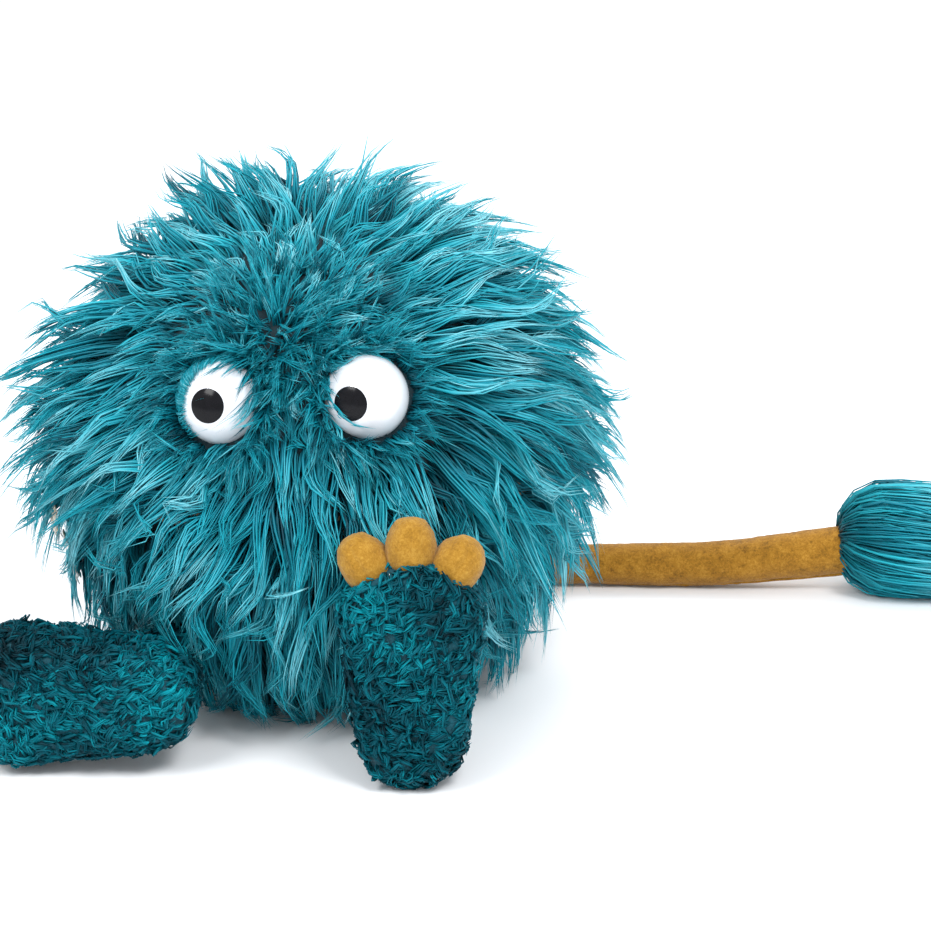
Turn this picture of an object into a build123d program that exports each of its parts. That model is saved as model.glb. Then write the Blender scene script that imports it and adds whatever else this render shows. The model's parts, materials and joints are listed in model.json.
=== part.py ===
from build123d import *
import os
from math import cos, radians, sin, sqrt, tan

# A moving mouth puppet: a fur-covered ball with a hand-worked mouth, two limp plush feet and a
# felt tail with a fur tuft. It faces -Y and stands on the flat underside of the ball, with the
# origin in the middle of that flat. Millimetres.

os.makedirs("parts", exist_ok=True)

# ---- driving dimensions ----------------------------------------------------------------------
# Ball, from the inside out: hand cavity, foam, fur
ball_height = 114.0        # height of the ball's centre above the ground
cavity_radius = 66.0
foam_radius = 97.0
fur_radius = 126.0
front_flat = 100.0         # the fur is pressed flat here, behind the feet
flat_top = 127.0

# Mouth
mouth_height = 108.0       # height of the closed mouth line
mouth_fold_y = 15.0        # the fold that the mouth opens on
mouth_open = 32.0          # how far the upper half tips back, in degrees
gusset_margin = 3.0        # degrees of room left behind the fold
plate_radius = 108.0
plate_thick = 2.0
lining_thick = 1.5
fold_radius = 1.5

# Pockets for the hand
finger_pocket_size = (72.0, 48.0, 26.0)
thumb_pocket_size = (36.0, 48.0, 26.0)
pocket_wall = 1.5
pocket_back = 2.0          # y of the pockets' open ends
gusset_start = 4.0         # how far behind the fold the gusset's edge is
tape_margin = 2.0          # between the fold tape's ends and the foam
sleeve_bore = 40.0         # radius
sleeve_wall = 1.5
sleeve_height = 62.0
sleeve_start = 48.0        # the hand passes over the fold in front of this
sleeve_end = 112.0
hem_length = 8.0
hem_wall = 4.0

# Eyes: half balls on stems
eye_radius = 19.0
eye_turn = 20.7            # degrees either side of the nose line
eye_lifts = {"left": 28.1, "right": 26.1}      # degrees above the ball's equator
gazes = {"left": (-16.5, 7.0), "right": (-15.0, 11.5)}     # turn from -Y towards +X, and lift
eye_seat_gap = 2.0         # between the foam and the flat of an eye
pupil_radius = 7.6
pupil_depth = 1.2
stem_radius = 3.0
stem_length = 16.0
washer_radius = 11.0
washer_thick = 2.4
stem_hole_depth = 10.0     # how far the stem's hole in the fur starts below the eye

# Legs and feet
leg_radius = 17.0
leg_wall = 1.6
hips = {"left": (50.0, -84.0, 42.0), "right": (-56.0, -80.0, 40.0)}
ankle_along = {"left": 42.0, "right": 20.0}    # from the back of the heel
ankle_behind = 4.0                             # the ankle's middle, behind the foot's back
foot_thick = 34.0
foot_heel_radius = 23.0
foot_toe_radius = 31.0
foot_toe_centre = 74.0     # from the back of the heel
foot_edge = 12.0
foot_wall = 3.0
ankle_recess = 25.5
ankle_recess_depth = 5.5
toe_thick = 26.0
toe_reach = 49.0           # from the toe circle's centre to a toe's tip
toe_fan = 36.0             # degrees between toes
toe_edge = 7.0
toe_root_depth = 7.0       # how far a toe is sewn in behind the foot's toe edge
toe_flare = 4.0            # how far past that edge the toe is widest
toe_seam = 0.4             # taken off each side of a toe
toe_crown = 4.0            # how far the toe's shoulders lie below its tip
bean_bag_radius = 14.0
bean_bag_thick = 12.0
bean_bag_drop = 4.0        # how far it lies below the toe circle's centre
left_foot_x, left_foot_front = 54.0, 145.0
right_foot_x, right_foot_front = -42.0, 139.0
foot_ground = {"left": 0.5, "right": 3.5}      # height of the foot; the right one rests on a toe
leg_swing_out, leg_swing_in = 25.0, 8.0

# Tail
tail_points = ((50, 70, 36), (78, 96, 20), (112, 111, 10.8), (190, 113, 12.0), (262, 113, 22.0))
tail_radii = (9.5, 9.8, 10.2, 11.2, 12.5)
tail_wall = 1.6
tail_swing_out, tail_swing_in = 35.0, 12.0
tuft_height = 28.0
tuft_start, tuft_end = 258.0, 374.0
tuft_radius = 27.4
tuft_swing = 20.0
tuft_shoulder = 0.8        # share of its radius that the tuft has at both ends
tuft_bulge = 40.0          # where it is fullest, from its start
tuft_taper = 30.0          # where it starts to round off, from its end
core_radius = 7.0
core_gap = 4.0             # between the tail's end and the core
core_length = 45.0

# Sewn-in labels, all blank
label_thick = 0.8
woven_label_size = (20.0, 14.0)
care_label_size = (13.0, 22.0)
ribbon_size = (5.0, 24.0)
labels = (("woven_label", woven_label_size, -72, -12),     # name, size, turn and lift on the ball
          ("care_label", care_label_size, -68, -21),
          ("ribbon_end", ribbon_size, -79, -24))

# Clearances
body_gap = 0.3             # between pieces that move on each other
swing_room = 60.0          # length of the room cut round a swinging leg, tail or tuft
fit_gap = 0.1              # between pieces that are sewn or glued together

# ---- places worked out from them -------------------------------------------------------------
far = 400.0
ball_centre = (0.0, 0.0, ball_height)
stack = lining_thick + plate_thick
sleeve_outside = sleeve_bore + sleeve_wall
hem_outside = sleeve_bore + hem_wall
foot_backs = {
    "left": Plane((left_foot_x, foot_thick - left_foot_front, foot_ground["left"]),
                  x_dir=(1, 0, 0), z_dir=(0, -1, 0)),
    "right": Plane((right_foot_x, foot_thick - right_foot_front, foot_ground["right"] + foot_toe_radius),
                   x_dir=(0, 0, 1), z_dir=(0, -1, 0)),
}
ankles = {side: tuple(back.from_local_coords((0, ankle_along[side], -ankle_behind)))
          for side, back in foot_backs.items()}
swing_angles = {"left": (-leg_swing_in, 0, 9, 17, leg_swing_out),
                "right": (leg_swing_in, 0, -9, -17, -leg_swing_out)}


def on_ball(turn, lift, radius):
    """The plane that faces straight out of the ball: turn from -Y towards +X, lift from level."""
    across, up = radians(turn), radians(lift)
    out = Vector(sin(across) * cos(up), -cos(across) * cos(up), sin(up))
    return Plane(Vector(*ball_centre) + out * radius, x_dir=(cos(across), sin(across), 0), z_dir=out)


def along(start, end):
    """The plane at start that faces end."""
    return Plane(start, z_dir=Vector(*end) - Vector(*start))


def turned(start, end, angle):
    """end after a turn about the upright line through start."""
    dx, dy = end[0] - start[0], end[1] - start[1]
    c, s = cos(radians(angle)), sin(radians(angle))
    return (start[0] + dx * c - dy * s, start[1] + dx * s + dy * c, end[2])


def rod(plane, radius, length):
    with BuildPart() as piece:
        with BuildSketch(plane):
            Circle(radius)
        extrude(amount=length)
    return piece.part


def ball(centre, radius):
    with BuildPart() as piece:
        with Locations(centre):
            Sphere(radius)
    return piece.part


def cone(plane, base_radius, top_radius, length):
    with BuildPart(plane) as piece:
        Cone(base_radius, top_radius, length, align=(Align.CENTER, Align.CENTER, Align.MIN))
    return piece.part


def block(low, high):
    with BuildPart() as piece:
        with Locations(tuple((a + b) / 2 for a, b in zip(low, high))):
            Box(*[b - a for a, b in zip(low, high)])
    return piece.part


def side_profile(points):
    """A prism across the whole puppet with this outline in Y and Z."""
    with BuildPart() as piece:
        with BuildSketch(Plane.YZ):
            with BuildLine():
                Polyline(*points, close=True)
            make_face()
        extrude(amount=far, both=True)
    return piece.part


def shell(outer, inner):
    with BuildPart() as piece:
        add(ball(ball_centre, outer))
        add(ball(ball_centre, inner), mode=Mode.SUBTRACT)
    return piece.part


def upper_half():
    """Room for the upper half: above the mouth line, and behind the fold above a raked plane."""
    rise = far * tan(radians(mouth_open + gusset_margin))
    low = mouth_height + body_gap
    return side_profile([(-far, low), (mouth_fold_y, low), (mouth_fold_y + far, low + rise),
                         (mouth_fold_y + far, low + far + rise), (-far, low + far + rise)])


def lower_half():
    return block((-far, -far, 0), (far, far, mouth_height - body_gap))


def mouth_sheet(low, thick, radius):
    """A half-oval sheet in front of the fold, its underside at height low."""
    with BuildPart() as piece:
        with BuildSketch(Plane.XY.offset(low)):
            Circle(radius)
            with Locations((0, mouth_fold_y - fold_radius - body_gap + far / 2)):
                Rectangle(far, far, mode=Mode.SUBTRACT)
            with Locations((0, -front_flat - far / 2)):
                Rectangle(far, far, mode=Mode.SUBTRACT)
        extrude(amount=thick)
    return piece.part


def leg_form(side, inset):
    """A stuffed leg with round ends, from the hip to the ankle."""
    hip, ankle, radius = hips[side], ankles[side], leg_radius - inset
    with BuildPart() as piece:
        add(ball(hip, radius))
        add(ball(ankle, radius))
        add(rod(along(hip, ankle), radius, (Vector(*ankle) - Vector(*hip)).length))
    return piece.part


def foot_form(side, inset):
    with BuildPart() as piece:
        with BuildSketch(foot_backs[side].offset(inset)):
            with Locations((0, foot_heel_radius)):
                Circle(foot_heel_radius - inset)
            with Locations((0, foot_toe_centre)):
                Circle(foot_toe_radius - inset)
            make_hull()
        extrude(amount=foot_thick - 2 * inset)
        rims = piece.faces().filter_by(Axis(ball_centre, foot_backs[side].z_dir)).edges()
        fillet(rims, foot_edge - inset)
    return piece.part


def toe_form(side, angle, extra):
    """One felt toe, as a rounded wedge that fans out from the toe circle's centre."""
    back = foot_backs[side]
    middle = back.offset((foot_thick - toe_thick) / 2 - extra)
    centre = middle.from_local_coords((0, foot_toe_centre, 0))
    up = Vector(middle.from_local_coords((-sin(radians(angle)), foot_toe_centre + cos(radians(angle)), 0)))
    plane = Plane(centre, x_dir=(up - centre).cross(back.z_dir), z_dir=back.z_dir)
    spread = tan(radians(toe_fan / 2))
    root, wide = foot_toe_radius - toe_root_depth, foot_toe_radius + toe_flare
    shoulder = toe_reach - toe_crown
    with BuildPart() as piece:
        with BuildSketch(plane):
            with BuildLine():
                Polyline((-root * spread + toe_seam, root), (root * spread - toe_seam, root),
                         (wide * spread - toe_seam, wide), (0.8 * wide * spread, shoulder),
                         (0.4 * wide * spread, toe_reach), (-0.4 * wide * spread, toe_reach),
                         (-0.8 * wide * spread, shoulder), (-wide * spread + toe_seam, wide),
                         close=True)
            make_face()
            if extra:
                offset(amount=extra)
        extrude(amount=toe_thick + 2 * extra)
        if not extra:
            fillet(piece.faces().filter_by(Axis(ball_centre, back.z_dir)).edges(), toe_edge)
    return piece.part


def tail_form(inset):
    """The tail as tapered lengths with a ball at each point."""
    with BuildPart() as piece:
        for i, (point, radius) in enumerate(zip(tail_points, tail_radii)):
            add(ball(point, radius - inset))
            if i > 0:
                start = tail_points[i - 1]
                add(cone(along(start, point), tail_radii[i - 1] - inset, radius - inset,
                         (Vector(*point) - Vector(*start)).length))
    return piece.part


def write(piece, name):
    piece.label = name
    export_step(piece, f"parts/{name}.step")
    print(name, "solids", len(piece.solids()), "volume", round(piece.volume))


# ---- ball, lower half ------------------------------------------------------------------------
sleeve_axis = Plane((0, 0, sleeve_height), x_dir=(1, 0, 0), z_dir=(0, 1, 0))

with BuildPart() as body_fur:
    add(shell(fur_radius, foam_radius + fit_gap))
    add(lower_half(), mode=Mode.INTERSECT)
    add(block((-far, -far, 0), (far, -front_flat, flat_top)), mode=Mode.SUBTRACT)
    add(mouth_sheet(mouth_height - body_gap - stack - fit_gap, far, plate_radius + fit_gap), mode=Mode.SUBTRACT)
    add(rod(sleeve_axis, sleeve_outside + fit_gap, far), mode=Mode.SUBTRACT)
    add(rod(sleeve_axis.offset(sleeve_end - fit_gap), hem_outside + fit_gap, far), mode=Mode.SUBTRACT)
    for side in hips:
        add(ball(hips[side], leg_radius + body_gap), mode=Mode.SUBTRACT)
        for angle in swing_angles[side]:
            swung = turned(hips[side], ankles[side], angle)
            add(rod(along(hips[side], swung), leg_radius + 2 * body_gap, swing_room), mode=Mode.SUBTRACT)
    add(ball(tail_points[0], tail_radii[0] + body_gap), mode=Mode.SUBTRACT)
    for angle in (-tail_swing_in, 0, 12, 24, tail_swing_out):
        swung = turned(tail_points[0], tail_points[1], angle)
        add(rod(along(tail_points[0], swung), tail_radii[1] + 2 * body_gap, swing_room), mode=Mode.SUBTRACT)
write(body_fur.part, "body_fur")

with BuildPart() as body_foam:
    add(shell(foam_radius, cavity_radius))
    add(lower_half(), mode=Mode.INTERSECT)
    add(mouth_sheet(mouth_height - body_gap - stack - fit_gap, far, plate_radius + fit_gap), mode=Mode.SUBTRACT)
    add(rod(sleeve_axis, sleeve_outside + fit_gap, far), mode=Mode.SUBTRACT)
    for side in hips:
        add(ball(hips[side], leg_radius + body_gap), mode=Mode.SUBTRACT)
    add(ball(tail_points[0], tail_radii[0] + body_gap), mode=Mode.SUBTRACT)
write(body_foam.part, "body_foam")

with BuildPart() as lower_mouth_lining:
    add(mouth_sheet(mouth_height - body_gap - lining_thick, lining_thick, plate_radius))
write(lower_mouth_lining.part, "lower_mouth_lining")

with BuildPart() as lower_mouth_plate:
    add(mouth_sheet(mouth_height - body_gap - stack, plate_thick, plate_radius))
write(lower_mouth_plate.part, "lower_mouth_plate")

fold_half = sqrt(cavity_radius ** 2 - mouth_fold_y ** 2) - tape_margin
with BuildPart() as mouth_fold_tape:
    add(rod(Plane((-fold_half, mouth_fold_y, mouth_height), z_dir=(1, 0, 0)), fold_radius, 2 * fold_half))
write(mouth_fold_tape.part, "mouth_fold_tape")


def pocket(size, base, up):
    """A sewn pocket that opens to the back, lying against a mouth plate."""
    width, depth, height = size
    low, high = sorted((base, base + up * height))
    front = pocket_back - depth
    with BuildPart() as piece:
        add(block((-width / 2, front, low), (width / 2, pocket_back, high)))
        fillet(piece.edges().filter_by(Axis.Y), height / 3)
        fillet(piece.faces().sort_by(Axis.Y)[0].edges(), height / 4)
        with BuildSketch(Plane((0, pocket_back, (low + high) / 2), x_dir=(1, 0, 0), z_dir=(0, -1, 0))):
            RectangleRounded(width - 2 * pocket_wall, height - 2 * pocket_wall, height / 3 - pocket_wall)
        extrude(amount=depth - pocket_wall - height / 8, mode=Mode.SUBTRACT)
    return piece.part


with BuildPart() as thumb_pocket:
    add(pocket(thumb_pocket_size, mouth_height - body_gap - stack - fit_gap, -1))
write(thumb_pocket.part, "thumb_pocket")

with BuildPart() as hand_sleeve:
    with BuildSketch(sleeve_axis.offset(sleeve_start)):
        Circle(sleeve_outside)
        Circle(sleeve_bore, mode=Mode.SUBTRACT)
    extrude(amount=sleeve_end - sleeve_start)
write(hand_sleeve.part, "hand_sleeve")

with BuildPart() as sleeve_hem:
    with BuildSketch(sleeve_axis.offset(sleeve_end)):
        Circle(hem_outside)
        Circle(sleeve_bore, mode=Mode.SUBTRACT)
    extrude(amount=hem_length)
    fillet(sleeve_hem.faces().sort_by(Axis.Y)[-1].edges(), hem_wall / 3)
write(sleeve_hem.part, "sleeve_hem")

# The wedge of fur-backed cloth behind the fold, which folds up as the mouth opens
with BuildPart() as neck_gusset:
    add(shell(fur_radius, cavity_radius))
    wedge_rise = far * tan(radians(mouth_open + gusset_margin)) - body_gap
    add(side_profile([(mouth_fold_y + gusset_start, mouth_height), (mouth_fold_y + far, mouth_height),
                      (mouth_fold_y + far, mouth_height + wedge_rise),
                      (mouth_fold_y + gusset_start,
                       mouth_height + gusset_start * tan(radians(mouth_open)) - body_gap)]),
        mode=Mode.INTERSECT)
write(neck_gusset.part, "neck_gusset")

for name, size, turn, lift in labels:
    with BuildPart() as label:
        with BuildSketch(on_ball(turn, lift, fur_radius + body_gap)):
            Rectangle(*size)
        extrude(amount=label_thick)
    write(label.part, name)

# ---- ball, upper half ------------------------------------------------------------------------
eye_sides = {"left": 1, "right": -1}
eye_base = foam_radius + fit_gap + eye_seat_gap
washer_top = sqrt(foam_radius ** 2 - (washer_radius + fit_gap) ** 2) - fit_gap - eye_base
eye_seats = {side: on_ball(sign * eye_turn, eye_lifts[side], eye_base) for side, sign in eye_sides.items()}

with BuildPart() as head_fur:
    add(shell(fur_radius, foam_radius + fit_gap))
    add(upper_half(), mode=Mode.INTERSECT)
    add(block((-far, -far, 0), (far, -front_flat, flat_top)), mode=Mode.SUBTRACT)
    add(mouth_sheet(mouth_height, body_gap + stack + fit_gap, plate_radius + fit_gap), mode=Mode.SUBTRACT)
    for seat in eye_seats.values():
        add(rod(seat, eye_radius + fit_gap, far), mode=Mode.SUBTRACT)
        add(rod(seat.offset(-stem_hole_depth), stem_radius + fit_gap, far), mode=Mode.SUBTRACT)
write(head_fur.part, "head_fur")

with BuildPart() as head_foam:
    add(shell(foam_radius, cavity_radius))
    add(upper_half(), mode=Mode.INTERSECT)
    add(mouth_sheet(mouth_height, body_gap + stack + fit_gap, plate_radius + fit_gap), mode=Mode.SUBTRACT)
    for seat in eye_seats.values():
        add(rod(seat.offset(-stem_length - fit_gap), stem_radius + fit_gap, far), mode=Mode.SUBTRACT)
        add(rod(seat.offset(washer_top - washer_thick - fit_gap), washer_radius + fit_gap, far), mode=Mode.SUBTRACT)
write(head_foam.part, "head_foam")

with BuildPart() as upper_mouth_lining:
    add(mouth_sheet(mouth_height + body_gap, lining_thick, plate_radius))
write(upper_mouth_lining.part, "upper_mouth_lining")

with BuildPart() as upper_mouth_plate:
    add(mouth_sheet(mouth_height + body_gap + lining_thick, plate_thick, plate_radius))
write(upper_mouth_plate.part, "upper_mouth_plate")

with BuildPart() as finger_pocket:
    add(pocket(finger_pocket_size, mouth_height + body_gap + stack + fit_gap, 1))
write(finger_pocket.part, "finger_pocket")


def disc_in_eye(side, room):
    """The pupil's place in the face of the eye, a thin domed disc, with room all round it."""
    centre = tuple(eye_seats[side].origin)
    look = Plane(centre, z_dir=on_ball(*gazes[side], 1).z_dir)
    with BuildPart() as piece:
        add(ball(centre, eye_radius))
        add(ball(centre, eye_radius - pupil_depth - room), mode=Mode.SUBTRACT)
        add(rod(look, pupil_radius + room, far), mode=Mode.INTERSECT)
    return piece.part


for side, seat in eye_seats.items():
    with BuildPart() as eye:
        add(ball(tuple(seat.origin), eye_radius))
        add(rod(seat.offset(-far), far, far), mode=Mode.SUBTRACT)
        add(disc_in_eye(side, fit_gap / 2), mode=Mode.SUBTRACT)
    write(eye.part, f"{side}_eye")

    with BuildPart() as pupil:
        add(disc_in_eye(side, 0))
    write(pupil.part, f"{side}_pupil")

    with BuildPart() as eye_stem:
        add(rod(seat.offset(-stem_length), stem_radius, stem_length))
    write(eye_stem.part, f"{side}_eye_stem")

    with BuildPart() as eye_washer:
        with BuildSketch(seat.offset(washer_top - washer_thick)):
            Circle(washer_radius)
            Circle(stem_radius + fit_gap / 2, mode=Mode.SUBTRACT)
        extrude(amount=washer_thick)
    write(eye_washer.part, f"{side}_eye_washer")

# ---- legs and feet ---------------------------------------------------------------------------
for side in hips:
    with BuildPart() as leg_sleeve:
        add(leg_form(side, 0))
        add(leg_form(side, leg_wall), mode=Mode.SUBTRACT)
    write(leg_sleeve.part, f"{side}_leg_sleeve")

    with BuildPart() as leg_stuffing:
        add(leg_form(side, leg_wall + fit_gap))
    write(leg_stuffing.part, f"{side}_leg_stuffing")

    seat_radius = leg_radius + body_gap
    ankle_rim = foot_backs[side].offset(ankle_recess_depth)
    ankle_mouth = Plane(ankle_rim.from_local_coords((0, ankle_along[side], 0)), z_dir=-foot_backs[side].z_dir)
    bean_bag_seat = Plane(foot_backs[side].from_local_coords(
        (0, foot_toe_centre - bean_bag_drop, (foot_thick - bean_bag_thick) / 2)),
        z_dir=foot_backs[side].z_dir)

    with BuildPart() as hollow:
        add(foot_form(side, foot_wall))
        add(ball(ankles[side], seat_radius + foot_wall), mode=Mode.SUBTRACT)
        add(rod(ankle_mouth.offset(-foot_wall), ankle_recess + foot_wall, far), mode=Mode.SUBTRACT)

    with BuildPart() as foot_cover:
        add(foot_form(side, 0))
        add(hollow.part, mode=Mode.SUBTRACT)
        add(ball(ankles[side], seat_radius), mode=Mode.SUBTRACT)
        add(rod(ankle_mouth, ankle_recess, far), mode=Mode.SUBTRACT)
        for angle in (-toe_fan, 0, toe_fan):
            add(toe_form(side, angle, fit_gap), mode=Mode.SUBTRACT)
    write(foot_cover.part, f"{side}_foot_cover")

    with BuildPart() as foot_stuffing:
        add(foot_form(side, foot_wall + fit_gap))
        add(ball(ankles[side], seat_radius + foot_wall + fit_gap), mode=Mode.SUBTRACT)
        add(rod(ankle_mouth.offset(-foot_wall - fit_gap), ankle_recess + foot_wall + fit_gap, far),
            mode=Mode.SUBTRACT)
        for angle in (-toe_fan, 0, toe_fan):
            add(toe_form(side, angle, fit_gap), mode=Mode.SUBTRACT)
        add(rod(bean_bag_seat.offset(-fit_gap), bean_bag_radius + fit_gap, bean_bag_thick + 2 * fit_gap),
            mode=Mode.SUBTRACT)
    write(foot_stuffing.part, f"{side}_foot_stuffing")

    with BuildPart() as bean_bag:
        add(rod(bean_bag_seat, bean_bag_radius, bean_bag_thick))
    write(bean_bag.part, f"{side}_bean_bag")

    for name, angle in (("inner_toe", toe_fan), ("middle_toe", 0), ("outer_toe", -toe_fan)):
        with BuildPart() as toe:
            add(toe_form(side, angle if side == "left" else -angle, 0))
        write(toe.part, f"{side}_{name}")

# ---- tail ------------------------------------------------------------------------------------
tail_root, tail_bend, tail_tip = tail_points[0], tail_points[-2], tail_points[-1]
with BuildPart() as tail_felt:
    add(tail_form(0))
    add(tail_form(tail_wall), mode=Mode.SUBTRACT)
write(tail_felt.part, "tail_felt")

with BuildPart() as tail_stuffing:
    add(tail_form(tail_wall + fit_gap))
write(tail_stuffing.part, "tail_stuffing")

core_start = tail_tip[0] + tail_radii[-1] + core_gap
core_axis = Plane((core_start, tail_tip[1], tuft_height), z_dir=(1, 0, 0))
with BuildPart() as tail_tuft:
    with BuildSketch(Plane((0, tail_tip[1], tuft_height), x_dir=(1, 0, 0), z_dir=(0, -1, 0))):
        with BuildLine():
            Polyline((tuft_end, 0), (tuft_start, 0), (tuft_start, tuft_shoulder * tuft_radius))
            Spline((tuft_start, tuft_shoulder * tuft_radius), (tuft_start + tuft_bulge, tuft_radius),
                   (tuft_end - tuft_taper, tuft_shoulder * tuft_radius), (tuft_end, 0),
                   tangents=((1, 0.3), (0, -1)))
        make_face()
    revolve(axis=Axis((0, tail_tip[1], tuft_height), (1, 0, 0)))
    add(ball(tail_tip, tail_radii[-1] + body_gap), mode=Mode.SUBTRACT)
    for angle in (-tuft_swing, -tuft_swing / 2, 0, tuft_swing / 2, tuft_swing):
        swung = turned(tail_tip, tail_bend, angle)
        add(rod(along(tail_tip, swung), tail_radii[-1] + 2 * body_gap, swing_room), mode=Mode.SUBTRACT)
    add(rod(core_axis.offset(-fit_gap), core_radius + fit_gap, core_length + 2 * fit_gap), mode=Mode.SUBTRACT)
write(tail_tuft.part, "tail_tuft")

with BuildPart() as tuft_core:
    add(rod(core_axis, core_radius, core_length))
write(tuft_core.part, "tuft_core")
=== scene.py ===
import json
import math

import bpy
import numpy as np
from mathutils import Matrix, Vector

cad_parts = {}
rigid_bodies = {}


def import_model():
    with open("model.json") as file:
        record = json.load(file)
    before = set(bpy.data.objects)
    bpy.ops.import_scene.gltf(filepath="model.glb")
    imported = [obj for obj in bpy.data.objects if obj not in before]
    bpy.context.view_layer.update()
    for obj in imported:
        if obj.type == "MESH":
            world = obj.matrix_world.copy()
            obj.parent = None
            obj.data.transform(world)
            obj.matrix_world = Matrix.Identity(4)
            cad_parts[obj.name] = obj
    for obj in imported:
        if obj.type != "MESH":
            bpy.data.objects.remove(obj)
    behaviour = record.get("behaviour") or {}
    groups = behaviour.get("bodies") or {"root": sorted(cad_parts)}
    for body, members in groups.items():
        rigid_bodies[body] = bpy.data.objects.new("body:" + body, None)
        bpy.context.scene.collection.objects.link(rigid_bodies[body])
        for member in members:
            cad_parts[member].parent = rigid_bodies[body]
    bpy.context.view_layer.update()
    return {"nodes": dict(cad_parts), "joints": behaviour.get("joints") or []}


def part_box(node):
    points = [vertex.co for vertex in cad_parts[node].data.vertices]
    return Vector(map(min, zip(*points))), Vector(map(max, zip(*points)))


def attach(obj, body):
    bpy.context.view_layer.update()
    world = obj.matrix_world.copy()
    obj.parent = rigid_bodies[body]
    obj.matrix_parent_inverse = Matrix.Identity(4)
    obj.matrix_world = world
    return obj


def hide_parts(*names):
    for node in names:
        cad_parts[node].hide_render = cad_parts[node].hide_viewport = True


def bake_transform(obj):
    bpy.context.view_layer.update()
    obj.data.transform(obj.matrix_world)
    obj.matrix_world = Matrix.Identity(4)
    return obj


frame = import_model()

MM = 0.001
TINTS = 64                  # bands of tint across a fur colour chart
CHART = "OFBake"            # the UV map that every fur, plush and fuzz mesh is coloured by

# ---- places taken from the frame -----------------------------------------------------------
fur_low, fur_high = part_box("head_fur")
foam_low, foam_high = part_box("head_foam")
FUR_RADIUS = (fur_high.x - fur_low.x) / 2
SKIN_RADIUS = (foam_high.x - foam_low.x) / 2 + 0.001
BALL = Vector((0, 0, fur_high.z - FUR_RADIUS))
JOINTS = {j["name"]: j for j in frame["joints"]}
FOLD = Vector(JOINTS["mouth_open"]["pos_m"])
RAKE = math.radians(35)     # how steeply the head's lower edge rises behind the fold
SIDES = ("left", "right")
CENTRE = np.array(BALL)


def middle(node_name):
    low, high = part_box(node_name)
    return (low + high) / 2


def unit(v):
    """Vectors of length one, along the last axis."""
    return v / np.maximum(np.linalg.norm(v, axis=-1, keepdims=True), 1e-12)


def direction(turn, lift):
    """Out of the ball: turn degrees from -Y towards +X, lift degrees above level."""
    t, u = math.radians(turn), math.radians(lift)
    return np.array([math.sin(t) * math.cos(u), -math.cos(t) * math.cos(u), math.sin(u)])


def smooth(x, low, high):
    """0 below low, 1 above high, and an even slope between."""
    t = np.clip((x - low) / (high - low), 0, 1)
    return t * t * (3 - 2 * t)


# ---- camera, floor and light ---------------------------------------------------------------
VIEW_TURN, VIEW_LIFT, VIEW_DISTANCE, LENS = 3.5, 19.0, 1.30, 107.0
AIM_RIGHT, AIM_DOWN = 0.0693, 0.0129       # the ball sits left of the middle of the view
LIGHTS = (
    # name, place, size, watts
    ("key", (-0.75, -0.95, 1.25), 0.6, 14),
    ("soft_box", (0.55, -0.73, 1.20), 0.46, 12),
    ("rim", (0.3, 1.1, 1.3), 0.9, 12),
)


def set_camera():
    turn = math.radians(VIEW_TURN)
    back = Vector(direction(VIEW_TURN, VIEW_LIFT))
    right = Vector((math.cos(turn), math.sin(turn), 0))
    up = back.cross(right)
    camera = bpy.data.objects.new("camera", bpy.data.cameras.new("camera"))
    bpy.context.collection.objects.link(camera)
    camera.data.lens = LENS
    camera.data.clip_start = 0.05
    camera.location = BALL + right * AIM_RIGHT - up * AIM_DOWN + back * VIEW_DISTANCE
    camera.rotation_euler = back.to_track_quat("Z", "Y").to_euler()
    bpy.context.scene.camera = camera
    bpy.context.scene.view_settings.view_transform = "Standard"


def set_floor_and_lights():
    bpy.ops.object.select_all(action="DESELECT")
    bpy.ops.mesh.primitive_plane_add(size=16, location=(0, 0, 0))
    floor = bpy.context.object
    floor.name = "floor"
    floor.data.materials.append(plain("floor_paper", (0.90, 0.91, 0.93), 0.9, Specular_IOR_Level=0.1))

    world = bpy.context.scene.world or bpy.data.worlds.new("world")
    bpy.context.scene.world = world
    world.use_nodes = True
    background = world.node_tree.nodes.get("Background")
    background.inputs["Color"].default_value = (0.96, 0.98, 1, 1)
    background.inputs["Strength"].default_value = 1.0
    for name, place, size, power in LIGHTS:
        light = bpy.data.objects.new(name, bpy.data.lights.new(name, "AREA"))
        bpy.context.collection.objects.link(light)
        light.data.shape = "SQUARE"
        light.data.size = size
        light.data.energy = power
        light.location = place
        light.rotation_euler = (Vector(place) - BALL).to_track_quat("Z", "Y").to_euler()


# ---- materials -----------------------------------------------------------------------------
def plain(name, color, roughness, **sockets):
    """A material of one colour, with any other sockets of its shader by name."""
    mat = bpy.data.materials.new(name)
    mat.use_nodes = True
    shader = mat.node_tree.nodes["Principled BSDF"]
    shader.inputs["Base Color"].default_value = (*color, 1)
    shader.inputs["Roughness"].default_value = roughness
    for socket, value in sockets.items():
        shader.inputs[socket.replace("_", " ")].default_value = value
    return mat


def node(mat, kind, **inputs):
    made = mat.node_tree.nodes.new(kind)
    for name, value in inputs.items():
        made.inputs[name.replace("_", " ")].default_value = value
    return made


def ramp(mat, stops):
    made = mat.node_tree.nodes.new("ShaderNodeValToRGB")
    while len(made.color_ramp.elements) < len(stops):
        made.color_ramp.elements.new(0.5)
    for element, (place, color) in zip(made.color_ramp.elements, stops):
        element.position = place
        element.color = (*color, 1)
    return made


def weighted(mat, first, second, share):
    """The sum of two outputs, the first one counting for this share."""
    rest = node(mat, "ShaderNodeMath")
    rest.operation = "MULTIPLY"
    rest.inputs[1].default_value = 1 - share
    total = node(mat, "ShaderNodeMath")
    total.operation = "MULTIPLY_ADD"
    total.inputs[1].default_value = share
    link = mat.node_tree.links.new
    link(second, rest.inputs[0])
    link(first, total.inputs[0])
    link(rest.outputs[0], total.inputs[2])
    return total.outputs[0]


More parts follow.
